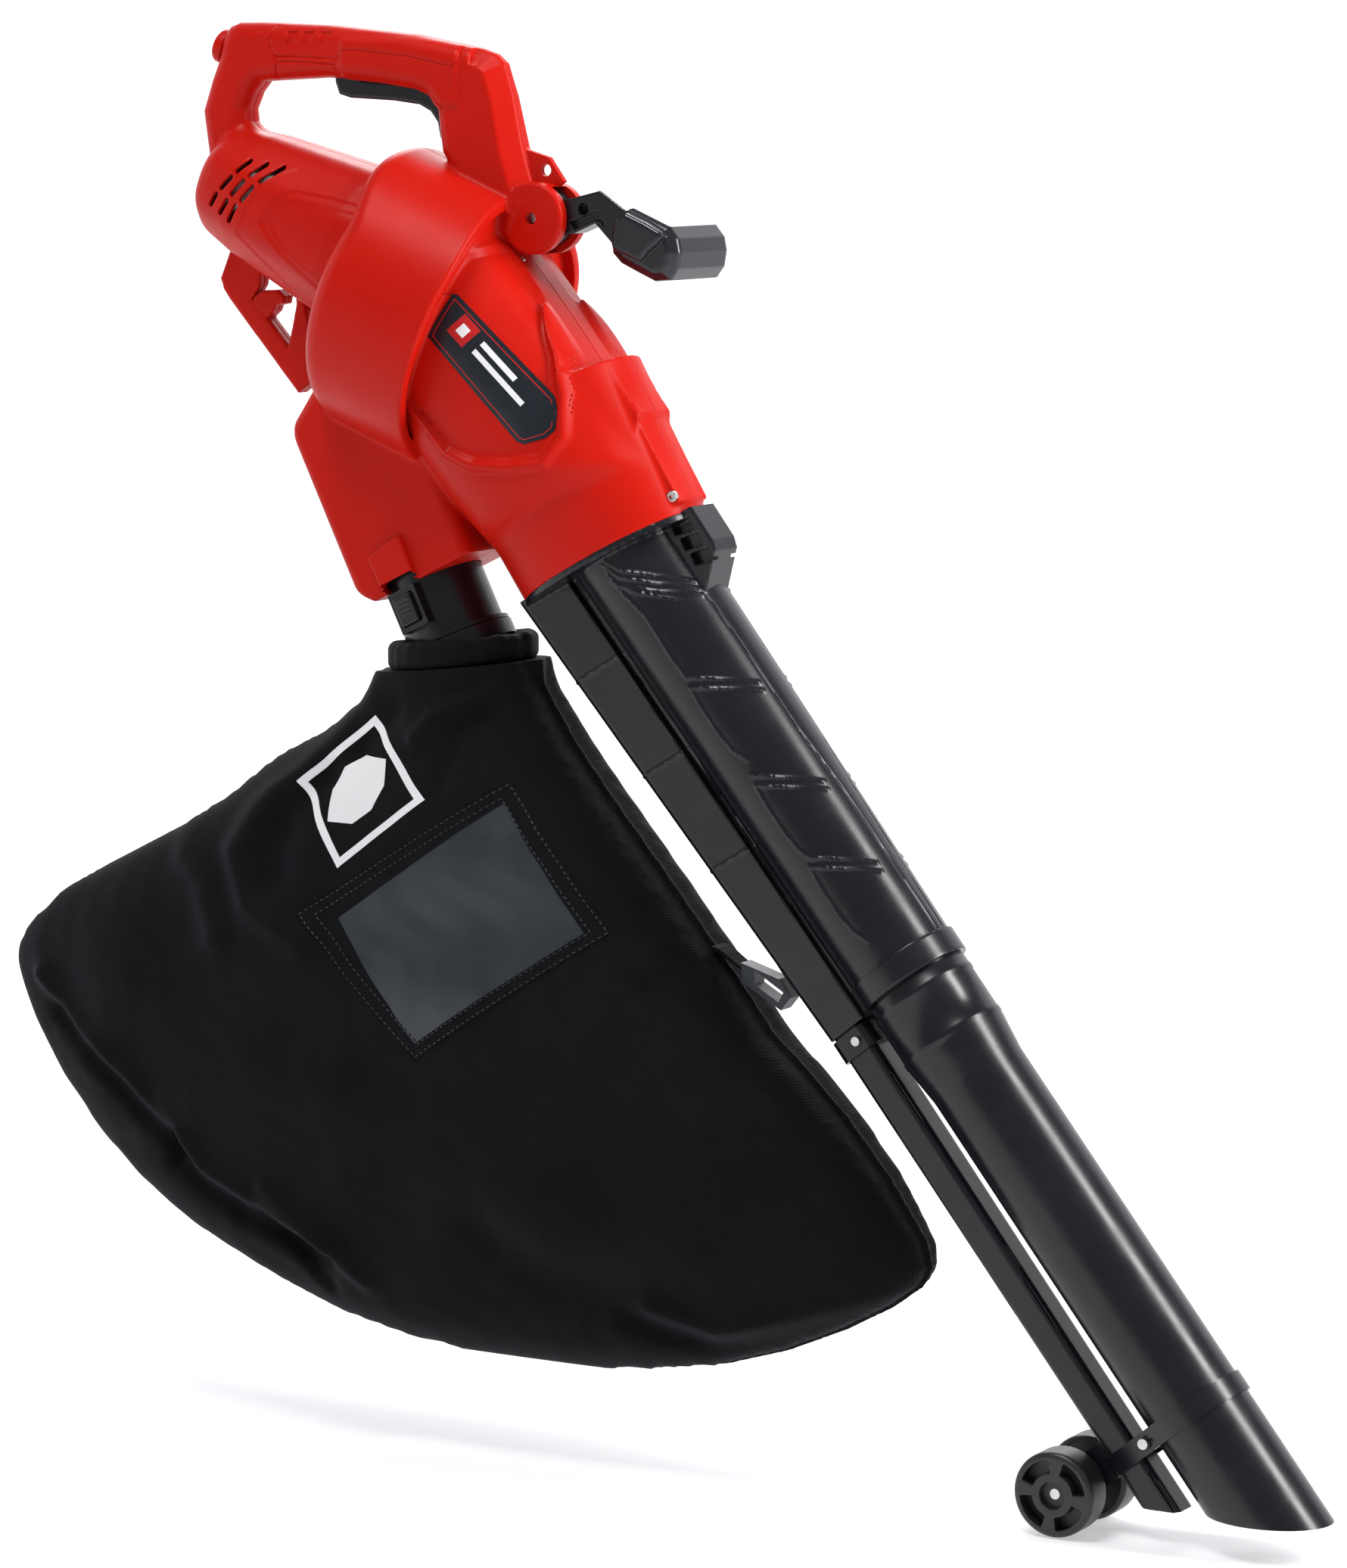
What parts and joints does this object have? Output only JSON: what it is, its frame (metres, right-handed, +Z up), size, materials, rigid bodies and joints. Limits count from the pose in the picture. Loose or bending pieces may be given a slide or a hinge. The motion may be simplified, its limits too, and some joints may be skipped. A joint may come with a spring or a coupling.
{
  "type": "leaf vacuum mulcher",
  "caption": "Hand-held electric leaf blower and vacuum with mulching fan, twin tubes on ground wheels, front cross handle and hanging cloth collecting bag.",
  "frame": {"origin": "middle of the main grip, on the machine's mid-plane", "axes": "+Z up with the machine held in use and its wheels at ground level, +X the horizontal way the nozzle points, +Y the machine's left"},
  "size_m": [1.1692, 0.224, 1.1118],
  "materials": {
    "housing_red": "satin moulded ABS",
    "black_plastic": "satin moulded PP",
    "grey_plastic": "fine-textured moulded plastic",
    "badge": "printed film",
    "rubber": "moulded",
    "steel": "zinc plated",
    "laminated_steel": "varnished laminations",
    "copper": "enamelled copper wire",
    "carbon": "carbon",
    "aluminium": "die cast",
    "circuit_board": "lacquered board",
    "bag_cloth": "woven polyester",
    "window_film": "soft vinyl",
    "wheel_plastic": "satin moulded PP"
  },
  "bodies": {
    "machine": {"badge_plate": "badge", "bag_body": "bag_cloth", "bag_hem": "bag_cloth", "bag_ring": "black_plastic", "bag_spigot": "black_plastic", "bag_strap": "bag_cloth", "bag_window": "window_film", "band_screw": "steel", "brush_holders": "black_plastic", "carbon_brushes": "carbon", "clip_screw": "steel", "cord_gland": "rubber", "dial_potentiometer": "grey_plastic", "field_coils": "copper", "front_bearing": "steel", "front_screw": "steel", "hook_lug": "black_plastic", "housing_left": "housing_red", "housing_right": "housing_red", "housing_screws": "steel", "inlet_duct": "black_plastic", "latch_spring": "steel", "lower_blow_tube": "black_plastic", "lower_suction_tube": "black_plastic", "motor_field": "laminated_steel", "motor_plate": "black_plastic", "pivot_bolt": "steel", "pivot_nut": "steel", "rear_bearing": "steel", "rear_bracket": "aluminium", "speed_board": "circuit_board", "strap_hook": "grey_plastic", "suppression_capacitor": "grey_plastic", "switch_module": "black_plastic", "trigger_pin": "steel", "trigger_spring": "steel", "tube_clip": "black_plastic", "upper_tube": "black_plastic", "wheel_axle": "steel", "wheel_bracket": "black_plastic", "wheel_screws": "steel", "wheel_washers": "steel"},
    "rotor": {"armature_shaft": "steel", "armature_core": "laminated_steel", "armature_windings": "copper", "commutator": "copper", "cooling_fan": "black_plastic", "impeller": "aluminium", "impeller_nut": "steel"},
    "trigger": {"trigger": "grey_plastic"},
    "speed_dial": {"speed_dial": "housing_red"},
    "aux_handle": {"aux_arm": "black_plastic", "aux_grip": "black_plastic"},
    "diverter": {"diverter_flap": "black_plastic", "mode_lever": "grey_plastic"},
    "latch_button": {"latch_button": "grey_plastic"},
    "wheel_right": {"wheel_right": "wheel_plastic"},
    "wheel_left": {"wheel_left": "wheel_plastic"}
  },
  "joints": [
    {"name": "motor_spin", "type": "hinge", "parent": "machine", "child": "rotor", "pos_m": [0.0705, 0, -0.1665], "axis": [0.9272, 0, -0.3746], "continuous": true},
    {"name": "trigger_pull", "type": "hinge", "parent": "machine", "child": "trigger", "pos_m": [0.014, 0, -0.009], "axis": [0, -1, 0], "range_deg": [0, 5], "stiffness_Nm_per_rad": 1, "springref_deg": -5.73, "deforming": ["trigger_spring"]},
    {"name": "speed_turn", "type": "hinge", "parent": "machine", "child": "speed_dial", "pos_m": [-0.096, 0, 0.003], "axis": [-0.9397, 0, 0.342], "range_deg": [-135, 135]},
    {"name": "aux_tilt", "type": "hinge", "parent": "machine", "child": "aux_handle", "pos_m": [0.1925, 0, -0.1255], "axis": [0, -1, 0], "range_deg": [-30, 10]},
    {"name": "mode_turn", "type": "hinge", "parent": "machine", "child": "diverter", "pos_m": [0.121, 0, -0.3505], "axis": [0, -1, 0], "range_deg": [0, 105]},
    {"name": "latch_press", "type": "slide", "parent": "machine", "child": "latch_button", "axis": [0, 1, 0], "range_m": [0, 0.003], "stiffness_N_per_m": 400, "springref_m": -0.001, "deforming": ["latch_spring"]},
    {"name": "wheel_right_spin", "type": "hinge", "parent": "machine", "child": "wheel_right", "pos_m": [0.65542, 0, -1.05927], "axis": [0, 1, 0], "continuous": true},
    {"name": "wheel_left_spin", "type": "hinge", "parent": "machine", "child": "wheel_left", "pos_m": [0.65542, 0, -1.05927], "axis": [0, 1, 0], "continuous": true}
  ]
}
